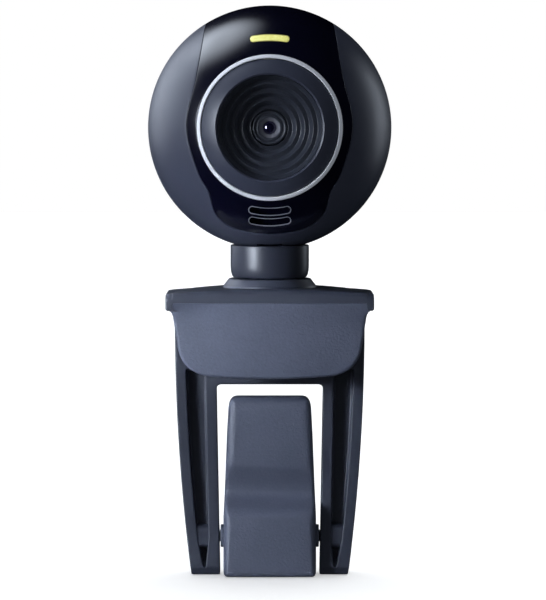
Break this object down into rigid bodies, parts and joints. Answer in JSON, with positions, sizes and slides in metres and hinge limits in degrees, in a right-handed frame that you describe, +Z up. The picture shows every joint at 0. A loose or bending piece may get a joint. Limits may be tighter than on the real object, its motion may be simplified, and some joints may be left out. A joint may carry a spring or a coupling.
{
  "type": "webcam on folding clip stand",
  "caption": "Ball-headed webcam with a focus ring, on a swivelling and tilting neck and a folding screen clip that also stands on its leg frame and foot.",
  "frame": {"origin": "on the floor, at the middle of the foot's flat base, straight below the centre of the ball head", "axes": "+Z up, the lens looks along -Y, +X to the viewer's right when facing the lens"},
  "size_m": [0.06, 0.0578, 0.1413],
  "materials": {
    "satin_shell": "satin moulded shell",
    "gloss_panel": "polished black, with a faint blue cast",
    "silver_ring": "silver paint, satin",
    "hood_plastic": "matt, finely grained",
    "light_guide": "clear yellow-green, lit from behind",
    "clip_plastic": "slate grey, fine moulded grain",
    "grained_plastic": "lighter slate grey, moulded grain",
    "lens_glass": "polished and coated",
    "rubber": "black rubber",
    "board_laminate": "green circuit board",
    "component_black": "moulded black",
    "steel": "zinc-plated steel"
  },
  "bodies": {
    "clip": {"clip_bridge": "clip_plastic", "front_lip": "grained_plastic", "lip_pad": "rubber", "bridge_pad": "rubber", "leg_hinge_pin": "steel", "hinge_washer_left": "steel", "hinge_washer_right": "steel"},
    "neck": {"neck": "gloss_panel", "swivel_washer": "steel", "swivel_screw": "steel", "tilt_clamp": "steel", "tilt_spring_washer": "steel", "tilt_screw": "steel"},
    "head": {"head_shell_front": "satin_shell", "head_shell_rear": "satin_shell", "face_panel": "gloss_panel", "lens_trim_ring": "silver_ring", "status_light_guide": "light_guide", "status_led": "component_black", "microphone": "steel", "microphone_boot": "rubber", "circuit_board": "board_laminate", "lens_holder": "hood_plastic", "image_sensor": "component_black", "controller_chip": "component_black", "cable_socket": "component_black", "cable_gland": "rubber", "board_screw_1": "steel", "board_screw_2": "steel", "shell_screw_1": "steel", "shell_screw_2": "steel"},
    "focus_ring": {"focus_ring": "satin_shell", "lens_hood": "hood_plastic", "lens_barrel": "hood_plastic", "front_lens": "lens_glass"},
    "legs": {"leg_frame": "clip_plastic", "foot_pivot_pin": "steel"},
    "foot": {"foot": "grained_plastic", "foot_sole": "rubber"}
  },
  "joints": [
    {"name": "neck_swivel", "type": "hinge", "parent": "clip", "child": "neck", "pos_m": [0, 0, 0.07425], "axis": [0, 0, 1], "range_deg": [-150, 150]},
    {"name": "head_tilt", "type": "hinge", "parent": "neck", "child": "head", "pos_m": [0, 0, 0.11126], "axis": [1, 0, 0], "range_deg": [-40, 12]},
    {"name": "focus_ring_turn", "type": "hinge", "parent": "head", "child": "focus_ring", "pos_m": [0, -0.02, 0.11126], "axis": [0, 1, 0], "range_deg": [-150, 150]},
    {"name": "leg_fold", "type": "hinge", "parent": "clip", "child": "legs", "pos_m": [0, 0.008, 0.0663], "axis": [1, 0, 0], "range_deg": [-12, 100]},
    {"name": "foot_fold", "type": "hinge", "parent": "legs", "child": "foot", "pos_m": [0, 0.0024, 0.0096], "axis": [1, 0, 0], "range_deg": [-20, 95]}
  ]
}
